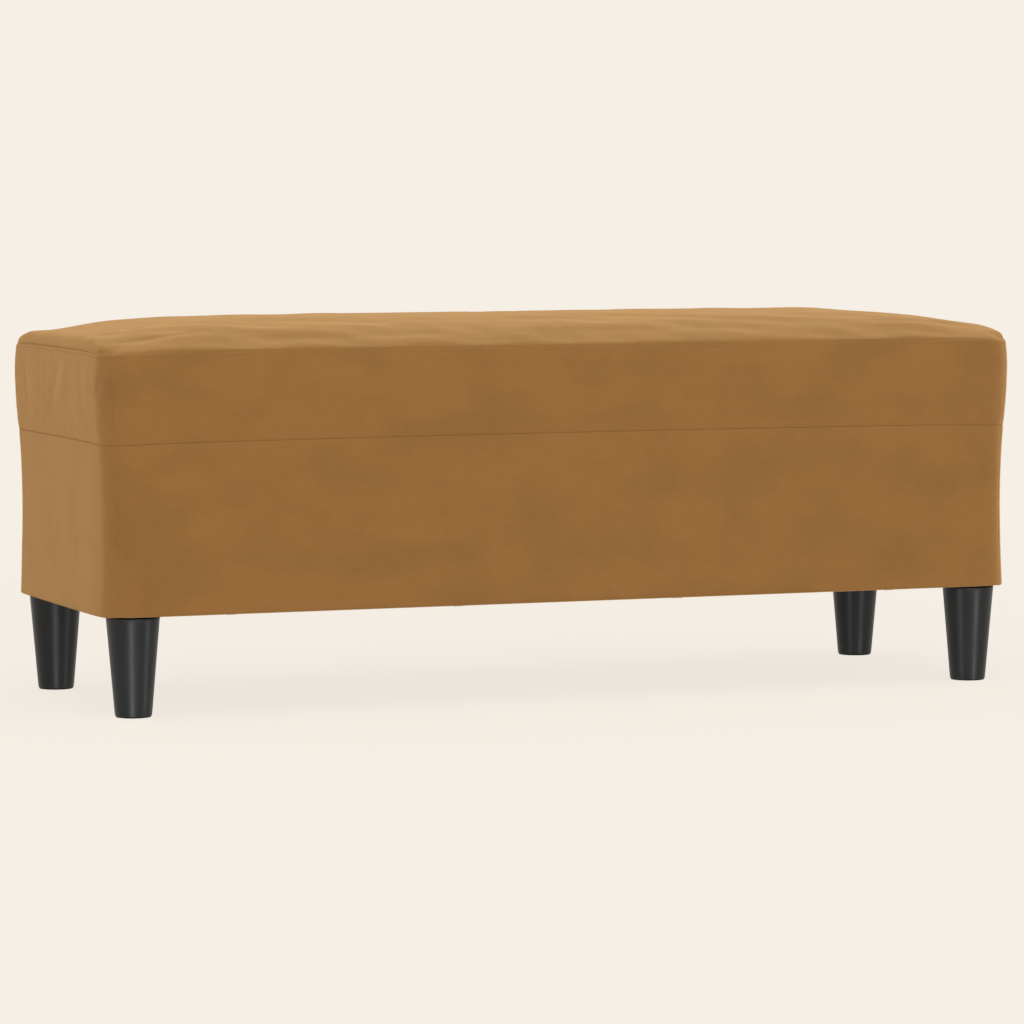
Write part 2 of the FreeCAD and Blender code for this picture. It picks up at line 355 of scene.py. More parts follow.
def grid_rim(rows, columns):
    """Rim of a grid of points stored row by row, once round."""
    rim = list(range(columns - 1))
    rim += [row * columns + columns - 1 for row in range(rows - 1)]
    rim += [(rows - 1) * columns + column for column in range(columns - 1, 0, -1)]
    rim += [row * columns for row in range(rows - 1, 0, -1)]
    return rim


def tube_faces(rings, segments, first=0):
    """Faces of a capped tube whose rings of points follow each other from a first point."""
    faces = grid_faces(rings, segments, True)
    faces.append(tuple(reversed(range(segments))))
    faces.append(tuple(range((rings - 1) * segments, rings * segments)))
    return [tuple(first + corner for corner in face) for face in faces]


def mesh_object(name, points, faces, material):
    """A smooth object from points in millimetres."""
    mesh = bpy.data.meshes.new(name)
    mesh.from_pydata((np.asarray(points, dtype=float) * METRE).tolist(), [], faces)
    mesh.materials.append(material)
    mesh.update()
    mesh.shade_smooth()
    piece = bpy.data.objects.new(name, mesh)
    bpy.context.collection.objects.link(piece)
    return piece


def dress(piece, nodes):
    """Put a piece in the frame in the place of CAD nodes."""
    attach(piece, "root")
    if nodes:
        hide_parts(*nodes)


def give_thickness(piece, thickness):
    """Cloth thickness, inward from the outer face."""
    solid = piece.modifiers.new("cloth_thickness", "SOLIDIFY")
    solid.thickness = thickness * METRE
    solid.offset = -1


# Materials


def new_material(name):
    """An empty node material with a shader, its output and coordinates in metres."""
    material = bpy.data.materials.new(name)
    material.use_nodes = True
    nodes = material.node_tree.nodes
    nodes.clear()
    output = nodes.new("ShaderNodeOutputMaterial")
    shader = nodes.new("ShaderNodeBsdfPrincipled")
    material.node_tree.links.new(shader.outputs["BSDF"], output.inputs["Surface"])
    coordinates = nodes.new("ShaderNodeTexCoord")
    return material, shader, coordinates.outputs["Object"]


def set_inputs(node, values):
    """Give a node's inputs their values by name."""
    for name, value in values.items():
        node.inputs[name].default_value = value


def noise(material, vector, scale, detail, roughness, stretch=None):
    """A noise texture's value, with the coordinates stretched if asked."""
    tree = material.node_tree
    if stretch is not None:
        mapping = tree.nodes.new("ShaderNodeMapping")
        mapping.inputs["Scale"].default_value = stretch
        tree.links.new(vector, mapping.inputs["Vector"])
        vector = mapping.outputs["Vector"]
    texture = tree.nodes.new("ShaderNodeTexNoise")
    set_inputs(texture, {"Scale": scale, "Detail": detail, "Roughness": roughness})
    tree.links.new(vector, texture.inputs["Vector"])
    return texture.outputs["Fac"]


def ramp(material, value, stops):
    """Colours along a value."""
    node = material.node_tree.nodes.new("ShaderNodeValToRGB")
    elements = node.color_ramp.elements
    while len(elements) < len(stops):
        elements.new(0.5)
    for element, (place, colour) in zip(elements, stops):
        element.position = place
        element.color = (*colour, 1.0)
    material.node_tree.links.new(value, node.inputs["Fac"])
    return node.outputs["Color"]


def paint(material, shader, value, stops, socket="Base Color"):
    """Colours along a value, led to one of the shader's sockets."""
    material.node_tree.links.new(ramp(material, value, stops), shader.inputs[socket])


def grey(level):
    """A grey colour."""
    return (level, level, level)


def product(material, first, second):
    """Two colours multiplied."""
    node = material.node_tree.nodes.new("ShaderNodeMix")
    node.data_type = "RGBA"
    node.blend_type = "MULTIPLY"
    node.inputs[0].default_value = 1.0
    material.node_tree.links.new(first, node.inputs[6])
    material.node_tree.links.new(second, node.inputs[7])
    return node.outputs[2]


def sum_of(material, first, second, share):
    """First value plus a share of the second."""
    node = material.node_tree.nodes.new("ShaderNodeMath")
    node.operation = "MULTIPLY_ADD"
    node.inputs[1].default_value = share
    material.node_tree.links.new(second, node.inputs[0])
    material.node_tree.links.new(first, node.inputs[2])
    return node.outputs[0]


def bump(material, shader, height, strength, distance):
    """Bump on a shader."""
    node = material.node_tree.nodes.new("ShaderNodeBump")
    set_inputs(node, {"Strength": strength, "Distance": distance})
    material.node_tree.links.new(height, node.inputs["Height"])
    material.node_tree.links.new(node.outputs["Normal"], shader.inputs["Normal"])


def scaled(colour, factor):
    """A colour made lighter or darker."""
    return tuple(channel * factor for channel in colour)


def velvet_material():
    """Short-pile velvet: mottled nap, stroke marks, fine pile and a sheen."""
    material, shader, place = new_material("velvet")
    base = (0.263, 0.126, 0.0355)
    mottle = noise(material, place, 16.0, 5.0, 0.6)
    strokes = noise(material, place, 22.0, 4.0, 0.55, (0.35, 1.0, 1.2))
    pile = noise(material, place, 2600.0, 2.0, 0.5)
    tone = sum_of(material, mottle, strokes, 0.8)
    cloud = ramp(material, tone, [
        (0.74, scaled(base, 0.935)),
        (0.90, base),
        (1.00, scaled(base, 1.04)),
    ])
    speckle = ramp(material, pile, [(0.3, grey(0.82)), (0.7, grey(1.12))])
    colour = product(material, cloud, speckle)
    material.node_tree.links.new(colour, shader.inputs["Base Color"])
    set_inputs(shader, {
        "Roughness": 0.92,
        "Specular IOR Level": 0.12,
        "Sheen Weight": 0.74,
        "Sheen Roughness": 0.52,
        "Sheen Tint": (1.0, 0.61, 0.265, 1.0),
    })
    relief = sum_of(material, pile, strokes, 0.8)
    bump(material, shader, relief, 0.35, 0.0006)
    return material


def thread_material():
    """Sewing thread, a shade darker than the velvet."""
    material, shader, place = new_material("thread")
    twist = noise(material, place, 1800.0, 2.0, 0.5, (1.0, 1.0, 2.0))
    paint(material, shader, twist, [(0.35, (0.19, 0.09, 0.025)), (0.65, (0.25, 0.12, 0.034))])
    shader.inputs["Roughness"].default_value = 0.7
    bump(material, shader, twist, 0.4, 0.0001)
    return material


def leg_material():
    """Satin moulded plastic with a fine grain."""
    material, shader, place = new_material("leg_plastic")
    grain = noise(material, place, 1500.0, 3.0, 0.6)
    cloud = noise(material, place, 30.0, 3.0, 0.5)
    paint(material, shader, cloud, [(0.35, (0.0064, 0.0076, 0.0092)), (0.65, (0.0088, 0.0100, 0.0116))])
    paint(material, shader, cloud, [(0.3, grey(0.35)), (0.7, grey(0.41))], "Roughness")
    shader.inputs["Specular IOR Level"].default_value = 0.25
    bump(material, shader, grain, 0.12, 0.0002)
    return material


def felt_material():
    """Dense dark felt."""
    material, shader, place = new_material("glide_felt")
    fibre = noise(material, place, 900.0, 6.0, 0.7)
    paint(material, shader, fibre, [(0.3, grey(0.006)), (0.7, grey(0.03))])
    shader.inputs["Roughness"].default_value = 1.0
    bump(material, shader, fibre, 0.6, 0.0005)
    return material


def wood_material(name, light, dark, stretch):
    """Raw timber with grain along X."""
    material, shader, place = new_material(name)
    grain = noise(material, place, 60.0, 6.0, 0.6, stretch)
    figure = noise(material, place, 9.0, 3.0, 0.5, stretch)
    tone = sum_of(material, grain, figure, 0.7)
    paint(material, shader, tone, [(0.55, dark), (1.1, light)])
    shader.inputs["Roughness"].default_value = 0.75
    bump(material, shader, grain, 0.25, 0.0004)
    return material


def foam_material(name, light, dark, cell_scale):
    """Open-cell foam or wadding."""
    material, shader, place = new_material(name)
    cells = noise(material, place, cell_scale, 4.0, 0.65)
    paint(material, shader, cells, [(0.3, dark), (0.7, light)])
    shader.inputs["Roughness"].default_value = 1.0
    bump(material, shader, cells, 0.6, 0.001)
    return material


def dust_cloth_material():
    """Black non-woven cloth with pressed dots."""
    material, shader, place = new_material("dust_cloth")
    fibres = noise(material, place, 700.0, 6.0, 0.7)
    dots = material.node_tree.nodes.new("ShaderNodeTexVoronoi")
    set_inputs(dots, {"Scale": 450.0, "Randomness": 0.25})
    material.node_tree.links.new(place, dots.inputs["Vector"])
    paint(material, shader, fibres, [(0.3, grey(0.004)), (0.7, (0.016, 0.016, 0.017))])
    shader.inputs["Roughness"].default_value = 0.85
    relief = sum_of(material, fibres, dots.outputs["Distance"], 0.8)
    bump(material, shader, relief, 0.5, 0.0004)
    return material


def zinc_material():
    """Zinc-plated steel."""
    material, shader, place = new_material("zinc_steel")
    bloom = noise(material, place, 250.0, 4.0, 0.6)
    paint(material, shader, bloom, [(0.3, (0.36, 0.36, 0.37)), (0.7, (0.52, 0.52, 0.51))])
    shader.inputs["Metallic"].default_value = 1.0
    paint(material, shader, bloom, [(0.3, grey(0.25)), (0.7, grey(0.42))], "Roughness")
    return material


velvet = velvet_material()
thread = thread_material()
leg_plastic = leg_material()
glide_felt = felt_material()
plywood = wood_material("plywood", (0.56, 0.38, 0.20), (0.36, 0.22, 0.10), (0.12, 1.0, 1.0))
pine = wood_material("pine", (0.66, 0.45, 0.22), (0.45, 0.27, 0.11), (0.15, 1.0, 1.0))
seat_foam_look = foam_material("seat_foam", (0.80, 0.72, 0.48), (0.60, 0.52, 0.33), 900.0)
pad_foam_look = foam_material("padding_foam", (0.72, 0.67, 0.52), (0.52, 0.48, 0.37), 800.0)
wadding_look = foam_material("wadding", (0.86, 0.86, 0.83), (0.66, 0.66, 0.64), 260.0)
dust_cloth = dust_cloth_material()
zinc = zinc_material()


# The seat cover's slack, found by simulation

COARSE_STEP = 6.0
COARSE_LONG = round(LONG_RUN / COARSE_STEP)
COARSE_SHORT = round(SHORT_RUN / COARSE_STEP)
COARSE_ROWS = 15
SIMULATION_FRAMES = 20
MOST_SLACK = 5.0
FINE_BLUR = 2
WIDE_BLUR = 12
BAND_BLUR_ROWS = 5
BAND_BLUR_COLUMNS = 10
TOP_SLACK_SHARE = 0.2
BAND_SLACK_SHARE = 0.10


def coarse_columns():
    """Columns of the coarse band, in the order of the top panel's rim."""
    columns = []
    for side in SIDES:
        count = COARSE_LONG if side in ("front", "back") else COARSE_SHORT
        for index in range(count):
            columns.append((side, index * SIDE_RUN[side] / count))
    return columns


def coarse_seat():
    """Points and faces of the top panel and the band on an even grid."""
    long_runs = np.linspace(0, LONG_RUN, COARSE_LONG + 1)
    short_runs = np.linspace(0, SHORT_RUN, COARSE_SHORT + 1)
    flat = coons_grid(long_runs, short_runs, TOP_SEAM_INSET)
    x, y = flat[..., 0], flat[..., 1]
    z = top_seam_height(x, y) + crown(x, y)
    points = np.stack([x, y, z], -1).reshape(-1, 3)
    faces = grid_faces(COARSE_SHORT + 1, COARSE_LONG + 1)
    columns = coarse_columns()
    rows = [grid_rim(COARSE_SHORT + 1, COARSE_LONG + 1)]
    band_points = []
    for row in range(1, COARSE_ROWS + 1):
        share = 1 - row / COARSE_ROWS
        ring = []
        for side, run in columns:
            place_x, place_y, out_x, out_y = (value[0] for value in side_frame(side, np.array([run])))
            reach = CORNER_RADIUS - band_inset(share)
            wall_x, wall_y = place_x + out_x * reach, place_y + out_y * reach
            low, high = low_seam_height(wall_x, wall_y), top_seam_height(wall_x, wall_y)
            ring.append(len(points) + len(band_points))
            band_points.append((wall_x, wall_y, low + (high - low) * share))
        rows.append(ring)
    middle = len(points) + len(band_points)
    for above, below in zip(rows, rows[1:]):
        for index in range(len(columns)):
            after = (index + 1) % len(columns)
            faces.append((above[index], below[index], below[after], above[after]))
    for index in range(len(columns)):
        after = (index + 1) % len(columns)
        faces.append((rows[-1][index], middle, rows[-1][after]))
    points = np.concatenate([points, np.array(band_points), [(0.0, 0.0, LOW_SEAM_Z)]])
    return points, faces, rows


def seat_slack():
    """Movement of the coarse seat cover under pressure, for the top panel and for the band."""
    points, faces, rows = coarse_seat()
    shape_top = (COARSE_SHORT + 1, COARSE_LONG + 1, 3)
    piece = mesh_object("seat_cloth_study", points, faces, velvet)
    pins = piece.vertex_groups.new(name="pins")
    pins.add(rows[-1] + [len(points) - 1], 1.0, "REPLACE")
    pins.add(rows[0], 0.5, "REPLACE")
    cloth = piece.modifiers.new("cloth", "CLOTH")
    settings = cloth.settings
    settings.quality = 6
    settings.mass = 0.25
    settings.tension_stiffness = 12.0
    settings.compression_stiffness = 12.0
    settings.shear_stiffness = 4.0
    settings.bending_stiffness = 0.25
    settings.vertex_group_mass = "pins"
    settings.shrink_min = -0.012
    settings.use_pressure = True
    settings.uniform_pressure_force = 4.0
    settings.effector_weights.gravity = 0.0
    cloth.point_cache.frame_start = 1
    cloth.point_cache.frame_end = SIMULATION_FRAMES
    scene = bpy.context.scene
    for number in range(1, SIMULATION_FRAMES + 1):
        scene.frame_set(number)
    evaluated = piece.evaluated_get(bpy.context.evaluated_depsgraph_get())
    moved = np.empty(len(points) * 3)
    evaluated.data.vertices.foreach_get("co", moved)
    change = moved.reshape(-1, 3) / METRE - points
    length = np.linalg.norm(change, axis=1, keepdims=True)
    change *= np.minimum(1, MOST_SLACK / np.maximum(length, 1e-9))
    bpy.data.objects.remove(piece)
    scene.frame_set(1)
    top = change[: shape_top[0] * shape_top[1]].reshape(shape_top)
    band = change[np.array(rows)]
    return top, band


def cubic_rows(values, places):
    """Values along the first axis at fractional places, by a smooth curve through them."""
    count = len(values)
    base = np.clip(np.floor(places).astype(int), 0, count - 2)
    t = (places - base).reshape((-1,) + (1,) * (values.ndim - 1))
    before = values[np.maximum(base - 1, 0)]
    first = values[base]
    second = values[base + 1]
    after = values[np.minimum(base + 2, count - 1)]
    return 0.5 * (
        2 * first
        + (second - before) * t
        + (2 * before - 5 * first + 4 * second - after) * t**2
        + (3 * first - before - 3 * second + after) * t**3
    )


def blurred(values, axis, reach, closed=False):
    """Values averaged along an axis with a soft window."""
    offsets = np.arange(-reach, reach + 1)
    weights = np.exp(-((offsets / (0.5 * reach)) ** 2))
    weights /= weights.sum()
    pad = [(0, 0)] * values.ndim
    pad[axis] = (reach, reach)
    padded = np.pad(values, pad, mode="wrap" if closed else "edge")
    total = np.zeros_like(values)
    for index, weight in enumerate(weights):
        total += weight * np.take(padded, range(index, index + values.shape[axis]), axis=axis)
    return total


top_change, band_change = seat_slack()
fine_top = blurred(blurred(top_change, 0, FINE_BLUR), 1, FINE_BLUR)
wide_top = blurred(blurred(top_change, 0, WIDE_BLUR), 1, WIDE_BLUR)
wide_band = blurred(blurred(band_change, 0, BAND_BLUR_ROWS), 1, BAND_BLUR_COLUMNS, True)
top_slack = TOP_SLACK_SHARE * (fine_top - wide_top)
band_slack = BAND_SLACK_SHARE * (band_change - wide_band)


def top_slack_at(long_runs, short_runs):
    """Slack of the top panel at a finer grid."""
    along = cubic_rows(top_slack, short_runs / SHORT_RUN * COARSE_SHORT)
    across = cubic_rows(np.swapaxes(along, 0, 1), long_runs / LONG_RUN * COARSE_LONG)
    return np.swapaxes(across, 0, 1)


def band_slack_at(run, height_share):
    """Slack of the band at whole runs round the bench and shares of the height."""
    count = band_slack.shape[1]
    wrapped = np.concatenate([band_slack[:, -3:], band_slack, band_slack[:, :4]], axis=1)
    by_row = cubic_rows(wrapped, (1 - height_share) * COARSE_ROWS)
    by_column = cubic_rows(np.swapaxes(by_row, 0, 1), np.mod(run, WHOLE_RUN) / WHOLE_RUN * count + 3)
    return np.swapaxes(by_column, 0, 1)


# The cover


def crease(x, y, start, end, width, depth):
    """A soft fold between two places, which fades at its ends."""
    from_x, from_y = x - start[0], y - start[1]
    way_x, way_y = end[0] - start[0], end[1] - start[1]
    length = math.hypot(way_x, way_y)
    along = (from_x * way_x + from_y * way_y) / length
    across = (from_y * way_x - from_x * way_y) / length
    share = np.clip(along / length, 0, 1)
    beside = (along > -0.1 * length) & (along < 1.1 * length)
    fade = np.sin(math.pi * np.clip(0.08 + 0.84 * share, 0, 1)) * beside
    return depth * fade * np.exp(-((across / width) ** 2))


# Folds by start, end, width and depth
TOP_CREASES = (
    ((-478.0, -140.0), (-380.0, -128.0), 6.0, -1.4),
    ((-486.0, -120.0), (-420.0, -60.0), 7.0, -1.0),
    ((-488.0, 120.0), (-410.0, 70.0), 8.0, -1.2),
    ((-470.0, 150.0), (-380.0, 110.0), 7.0, -1.0),
    ((-380.0, -150.0), (-120.0, -142.0), 8.0, -0.8),
    ((-250.0, -90.0), (60.0, -80.0), 12.0, -0.9),
    ((-60.0, -140.0), (240.0, -136.0), 9.0, -0.7),
    ((120.0, -40.0), (400.0, -52.0), 14.0, -0.9),
    ((300.0, -120.0), (470.0, -130.0), 7.0, -1.0),
    ((410.0, 80.0), (486.0, 130.0), 8.0, -1.0),
    ((-320.0, 60.0), (-40.0, 72.0), 13.0, -0.8),
    ((20.0, 120.0), (330.0, 112.0), 10.0, -0.8),
)


def make_top():
    """Crowned top panel, sewn in all round, with waves and long soft wrinkles."""
    long_runs = spread(LONG_RUN, SEAT_STEP)
    short_runs = spread(SHORT_RUN, SEAT_STEP)
    flat = coons_grid(long_runs, short_runs, TOP_SEAM_INSET)
    x, y = flat[..., 0], flat[..., 1]
    rise = crown(x, y)
    z = top_seam_height(x, y) + SEAM_GAP + rise
    inner = 1 - np.exp(-((rise / TOP_CALM_RISE) ** 2))
    wave = smooth_noise([x * TOP_WAVE_STRETCH, y], TOP_WAVE_SIZE, TOP_WAVE_SEED, 2)
    slope = RIDGE_WAVE_SHARE + (1 - RIDGE_WAVE_SHARE) * np.clip(np.abs(y) / RIDGE_REACH, 0, 1) ** 2
    z += TOP_WAVE * wave * slope * inner
    for start, end, width, depth in TOP_CREASES:
        z += crease(x, y, start, end, width, depth) * inner
    points = np.stack([x, y, z], -1) + top_slack_at(long_runs, short_runs)
    points = ease_ends(draw_in_at_rim(points, rise))
    faces = grid_faces(len(short_runs), len(long_runs))
    piece = mesh_object("cover_top_panel", points.reshape(-1, 3), faces, velvet)
    give_thickness(piece, CLOTH)
    dress(piece, ["cover_top"])


def draw_in_at_rim(points, rise):
    """Points with the panel's rim pulled in, into the seam, with small puckers."""
    x, y = points[..., 0], points[..., 1]
    angle_run = (np.arctan2(y / HALF_DEPTH, x / HALF_LENGTH) / (2 * math.pi)) * WHOLE_RUN
    dip = seam_dip(rise * 0.9, angle_run, TOP_SEAM_DEPTH, TOP_PUCKER_SEED)
    centre_x = np.clip(x, -STRAIGHT_X, STRAIGHT_X)
    centre_y = np.clip(y, -STRAIGHT_Y, STRAIGHT_Y)
    inside_x = np.where(np.abs(x) > STRAIGHT_X, centre_x - x, 0.0)
    inside_y = np.where(np.abs(y) > STRAIGHT_Y, centre_y - y, 0.0)
    length = np.maximum(np.hypot(inside_x, inside_y), 1e-6)
    drawn = points.copy()
    drawn[..., 0] += inside_x / length * dip
    drawn[..., 1] += inside_y / length * dip
    return drawn


def panel_runs(side, step):
    """Runs of one wall panel from corner seam to corner seam, and its two ends."""
    turn = CORNER_SEAM_ANGLE if side in ("front", "back") else 90 - CORNER_SEAM_ANGLE
    reach = CORNER_RADIUS * math.radians(turn)
    start = HALF_ARC - reach
    end = SIDE_RUN[side] - HALF_ARC + reach
    return start + spread(end - start, step), start, end


def wall_points(side, run, inset, z):
    """Points of a wall from grids of run, inset and height."""
    place_x, place_y, out_x, out_y = side_frame(side, run)
    reach = CORNER_RADIUS - inset
    return np.stack([place_x + out_x * reach, place_y + out_y * reach, z], -1)


def allowance(row):
    """A row of points moved inward along the seam, where the seam's turned-in edge lies."""
    towards = np.stack([
        np.clip(row[..., 0], -STRAIGHT_X, STRAIGHT_X) - row[..., 0],
        np.clip(row[..., 1], -STRAIGHT_Y, STRAIGHT_Y) - row[..., 1],
        np.zeros(row.shape[:-1]),
    ], -1)
    length = np.maximum(np.linalg.norm(towards, axis=-1, keepdims=True), 1e-6)
    return row + towards / length * SEAM_ALLOWANCE


def corner_seam_dip(run, start, end):
    """Fine line of the upright seam at both ends of a panel."""
    distance = np.minimum(run - start, end - run)
    return CORNER_SEAM_DEPTH * np.exp(-((distance / SEAM_WIDTH) ** 2))


# Folds by run and height
BAND_CREASES = {
    "left": (
        ((330.0, 352.0), (314.0, 316.0), 6.0, 1.1),
        ((192.0, 347.0), (150.0, 298.0), 10.0, 1.2),
        ((262.0, 345.0), (272.0, 300.0), 9.0, 0.7),
        ((60.0, 348.0), (75.0, 293.0), 8.0, 0.7),
    ),
    "front": (((30.0, 351.0), (60.0, 303.0), 7.0, 0.8), ((940.0, 348.0), (925.0, 303.0), 7.0, 0.7)),
    "right": (((40.0, 351.0), (30.0, 303.0), 6.0, 0.8), ((290.0, 348.0), (300.0, 303.0), 6.0, 0.7)),
    "back": (((40.0, 351.0), (55.0, 308.0), 7.0, 0.8), ((930.0, 348.0), (915.0, 303.0), 7.0, 0.7)),
}


def make_band(side):
    """One panel of the boxing band, swollen by the foam behind it."""
    runs, start, end = panel_runs(side, SEAT_STEP)
    height = TOP_SEAM_Z - LOW_SEAM_Z
    heights = spread(height, BAND_ROW_STEP) / height
    run, share = np.meshgrid(runs, heights)
    inset = band_inset(share)
    rough = wall_points(side, run, inset, np.zeros(run.shape))
    low = low_seam_height(rough[..., 0], rough[..., 1]) + SEAM_GAP
    high = top_seam_height(rough[..., 0], rough[..., 1]) - SEAM_GAP
    z = low + (high - low) * share
    whole_run = run + SIDE_START[side]
    from_low, from_high = z - low, high - z
    inset += seam_dip(from_low, whole_run, LOW_SEAM_DEPTH, LOW_PUCKER_SEED)
    inset += seam_dip(from_high, whole_run, TOP_SEAM_DEPTH, TOP_PUCKER_SEED)
    inset += stitch_dip(from_high) + corner_seam_dip(run, start, end)
    inner = np.clip(np.minimum(from_low, from_high) / BAND_CALM, 0, 1)
    inset += BAND_WAVE * inner * smooth_noise([whole_run, z], BAND_WAVE_SIZE, BAND_WAVE_SEED)
    for top, bottom, width, depth in BAND_CREASES[side]:
        inset += crease(run, z, top, bottom, width, depth) * inner
    points = wall_points(side, run, inset, z)
    points += band_slack_at(runs + SIDE_START[side], heights)
    points = ease_ends(np.concatenate([allowance(points[:1]), points, allowance(points[-1:])]))
    faces = grid_faces(*points.shape[:2])
    piece = mesh_object("cover_band_panel_" + side, points.reshape(-1, 3), faces, velvet)
    give_thickness(piece, CLOTH)
    dress(piece, ["cover_band_" + side])


def corner_ease(side, run, height_share):
    """Extra inset of the skirt at the front left corner, which is rounder towards the hem."""
    corner_run = {"front": 0.0, "left": SIDE_RUN["left"]}
    if side not in corner_run:
        return np.zeros(np.shape(run))
    distance = (run - corner_run[side]) / CORNER_EASE_WIDTH[side]
    return CORNER_EASE * (1 - height_share**2) * np.exp(-(distance**2))


def skirt_rows():
    """Shares of the height from the hem fold to the low seam, closer together near the seam."""
    upright = spread(LOW_SEAM_Z - HEM_Z - HEM_FOLD_RADIUS, SKIRT_STEP, False)
    return upright / upright[-1]


def make_skirt(side):
    """One panel of the skirt, drawn in halfway up, its hem folded and turned under the frame."""
    runs, start, end = panel_runs(side, SKIRT_STEP)
    run, share = np.meshgrid(runs, skirt_rows())
    inset = skirt_inset(share) + corner_ease(side, run, share)
    rough = wall_points(side, run, inset, np.zeros(run.shape))
    facing_y = side_frame(side, runs)[3]
    low = HEM_Z + HEM_FOLD_RADIUS + HEM_TILT * (2 * facing_y**2 - 1)
    high = low_seam_height(rough[..., 0], rough[..., 1]) - SEAM_GAP
    z = low + (high - low) * share
    whole_run = run + SIDE_START[side]
    inset += seam_dip(high - z, whole_run, LOW_SEAM_DEPTH, LOW_PUCKER_SEED)
    inset += 0.6 * stitch_dip(high - z) + corner_seam_dip(run, start, end)
    inner = np.clip(np.minimum((high - z) / SKIRT_CALM, (z - low) / SKIRT_CALM + 0.2), 0, 1)
    wave = smooth_noise([whole_run, z * 0.5], SKIRT_WAVE_SIZE, SKIRT_WAVE_SEED)
    inset += SKIRT_WAVE * inner * wave
    wall = wall_points(side, run, inset, z)
    edge = inset[0]
    fold = []
    for step in range(1, HEM_FOLD_STEPS + 1):
        angle = step / HEM_FOLD_STEPS * math.pi / 2
        fold_inset = edge + HEM_FOLD_RADIUS * (1 - math.cos(angle))
        fold_z = low - HEM_FOLD_RADIUS * math.sin(angle)
        fold.append(wall_points(side, runs, fold_inset, fold_z))
    for step in range(1, HEM_FOLD_STEPS + 1):
        length = HEM_FOLD_RADIUS + (TURN_UNDER_WIDTH - HEM_FOLD_RADIUS) * step / HEM_FOLD_STEPS
        fold.append(wall_points(side, runs, edge + length, np.full_like(edge, HEM_Z)))
    points = ease_ends(np.concatenate([np.array(fold[::-1]), wall, allowance(wall[-1:])]))
    faces = grid_faces(*points.shape[:2])
    piece = mesh_object("cover_skirt_panel_" + side, points.reshape(-1, 3), faces, velvet)
    give_thickness(piece, CLOTH)
    dress(piece, ["cover_skirt_" + side])


def make_stitches():
    """Topstitching just under the top seam."""
    rings = ((-1.0, 0.15), (-0.75, 0.8), (0.0, 1.0), (0.75, 0.8), (1.0, 0.15))
    angle = np.arange(STITCH_SEGMENTS) * 2 * math.pi / STITCH_SEGMENTS
    share = np.full(STITCH_SEGMENTS, 1 - STITCH_LINE / (TOP_SEAM_Z - LOW_SEAM_Z))
    points = []
    faces = []
    for side in SIDES:
        count = int(SIDE_RUN[side] / STITCH_PITCH)
        for index in range(count):
            middle = (index + 0.5) * SIDE_RUN[side] / count
            faces += [face[::-1] for face in tube_faces(len(rings), STITCH_SEGMENTS, len(points))]
            for along, thick in rings:
                run = np.full(STITCH_SEGMENTS, middle + along * STITCH_LENGTH / 2)
                radius = thick * STITCH_RADIUS
                inset = band_inset(share) + STITCH_SINK + STITCH_DIVE * along**2 - radius * np.cos(angle)
                rough = wall_points(side, run, inset, np.zeros(STITCH_SEGMENTS))
                z = top_seam_height(rough[:, 0], rough[:, 1]) - STITCH_LINE + radius * np.sin(angle)
                ring = wall_points(side, run, inset, z)
                ring += band_slack_at(run[:1] + SIDE_START[side], share[:1])[0]
                points.extend(ease_ends(ring))
    piece = mesh_object("topstitching", points, faces, thread)
    dress(piece, [])


# What the cover hides


def closed_rings(name, rings, material):
    """A closed body from rings of points, from its bottom to its top."""
    return mesh_object(name, np.concatenate(rings), tube_faces(len(rings), len(rings[0])), material)


def ring_at(inset, z, step):
    """Closed ring of points round the bench."""
    parts = []
    for side in SIDES:
        count = int(SIDE_RUN[side] / step)
        run = np.arange(count) * SIDE_RUN[side] / count
        parts.append(wall_points(side, run, inset, np.full(count, z)))
    return np.concatenate(parts)


def make_foam():
    """Foam block behind the boxing band, with softened edges."""
    low_z = LOW_SEAM_Z + 0.6
    edges = [(17.0, low_z), (15.5, low_z + 5.0)]
    for z in np.linspace(low_z + 7.5, FOAM_TOP_Z, 12):
        share = (z - LOW_SEAM_Z) / (TOP_SEAM_Z - LOW_SEAM_Z)
        edge = FOAM_EDGE * np.clip((z - FOAM_TOP_Z + FOAM_EDGE_REACH) / FOAM_EDGE_REACH, 0, 1) ** 2
        edges.append((band_inset(share) + CLOTH + FOAM_GAP + edge, z))
    rings = [ease_ends(ring_at(inset, z, FOAM_STEP)) for inset, z in edges]
    piece = closed_rings("seat_foam_block", rings, seat_foam_look)
    dress(piece, ["seat_foam"])


def make_wadding():
    """Crowned wadding between the foam and the top panel."""
    long_runs = spread(LONG_RUN, WADDING_STEP)
    short_runs = spread(SHORT_RUN, WADDING_STEP)
    flat = coons_grid(long_runs, short_runs, TOP_SEAM_INSET + WADDING_INSET)
    x, y = flat[..., 0], flat[..., 1]
    rise = np.maximum(crown(x, y) - WADDING_GAP, 0)
    edge = 1 - np.exp(-rise / 3.0)
    rim_z = FOAM_TOP_Z + 1.6
    upper = np.stack([x, y, rim_z + (top_seam_height(x, y) - rim_z) * edge + rise], -1)
    lower = np.stack([x, y, np.full(x.shape, FOAM_TOP_Z + 0.3)], -1)
    points = ease_ends(np.concatenate([upper.reshape(-1, 3), lower.reshape(-1, 3)]))
    below = x.size
    faces = grid_faces(*x.shape)
    faces += [tuple(below + corner for corner in reversed(face)) for face in grid_faces(*x.shape)]
    rim = grid_rim(*x.shape)
    for corner, after in zip(rim, rim[1:] + rim[:1]):
        faces.append((corner, below + corner, below + after, after))
    piece = mesh_object("seat_wadding_layer", points, faces, wadding_look)
    dress(piece, ["seat_wadding"])


